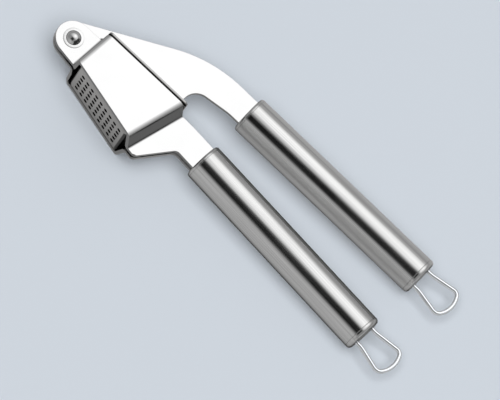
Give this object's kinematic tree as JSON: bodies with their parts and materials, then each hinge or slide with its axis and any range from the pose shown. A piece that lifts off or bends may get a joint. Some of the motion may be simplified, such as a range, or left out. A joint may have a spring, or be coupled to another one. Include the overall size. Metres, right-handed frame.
{
  "type": "garlic press",
  "caption": "Hinged stainless-steel garlic press with round tube handles, wire hanging loops, a plunger on the upper arm and a perforated cup in the lower frame.",
  "frame": {"origin": "under the middle of the bounding box, on the plane that the hopper's rear side lies on (the press lies on that side)", "axes": "+X along the lower handle from the pivot to its hanging loop, +Y from the lower handle to the upper handle, +Z along the pivot's axis, up out of the hopper's front side"},
  "size_m": [0.1736, 0.058, 0.023],
  "materials": {
    "polished_sheet": "polished stainless sheet, mirror-like with faint polishing lines",
    "satin_tube": "satin stainless tube, ground lengthwise",
    "cup_steel": "tumbled stainless, soft satin",
    "polished_wire": "polished stainless wire",
    "polished_rivet": "polished domed rivet head",
    "inner_steel": "plain machined steel, hidden inside"
  },
  "bodies": {
    "lower_handle": {"frame_plate_front": "polished_sheet", "frame_plate_rear": "polished_sheet", "tang_filler": "inner_steel", "sieve_cup": "cup_steel", "lower_collar": "satin_tube", "lower_tube": "satin_tube", "lower_tang_block": "inner_steel", "lower_tang_pins": "inner_steel", "lower_end_cap": "satin_tube", "lower_hanging_loop": "polished_wire", "pivot_rivet": "polished_rivet", "pivot_bush": "inner_steel", "rivet_washer_front": "polished_sheet", "rivet_washer_rear": "polished_sheet"},
    "upper_handle": {"arm_plate": "polished_sheet", "plunger_foot": "cup_steel", "plunger_stiffener": "cup_steel", "upper_collar": "satin_tube", "upper_tube": "satin_tube", "upper_tang_block": "inner_steel", "upper_tang_pins": "inner_steel", "upper_end_cap": "satin_tube", "upper_hanging_loop": "polished_wire"}
  },
  "joints": [
    {"name": "main_pivot", "type": "hinge", "parent": "lower_handle", "child": "upper_handle", "pos_m": [-0.08005, -0.01494, 0.0115], "axis": [0, 0, 1], "range_deg": [0, 150]}
  ]
}
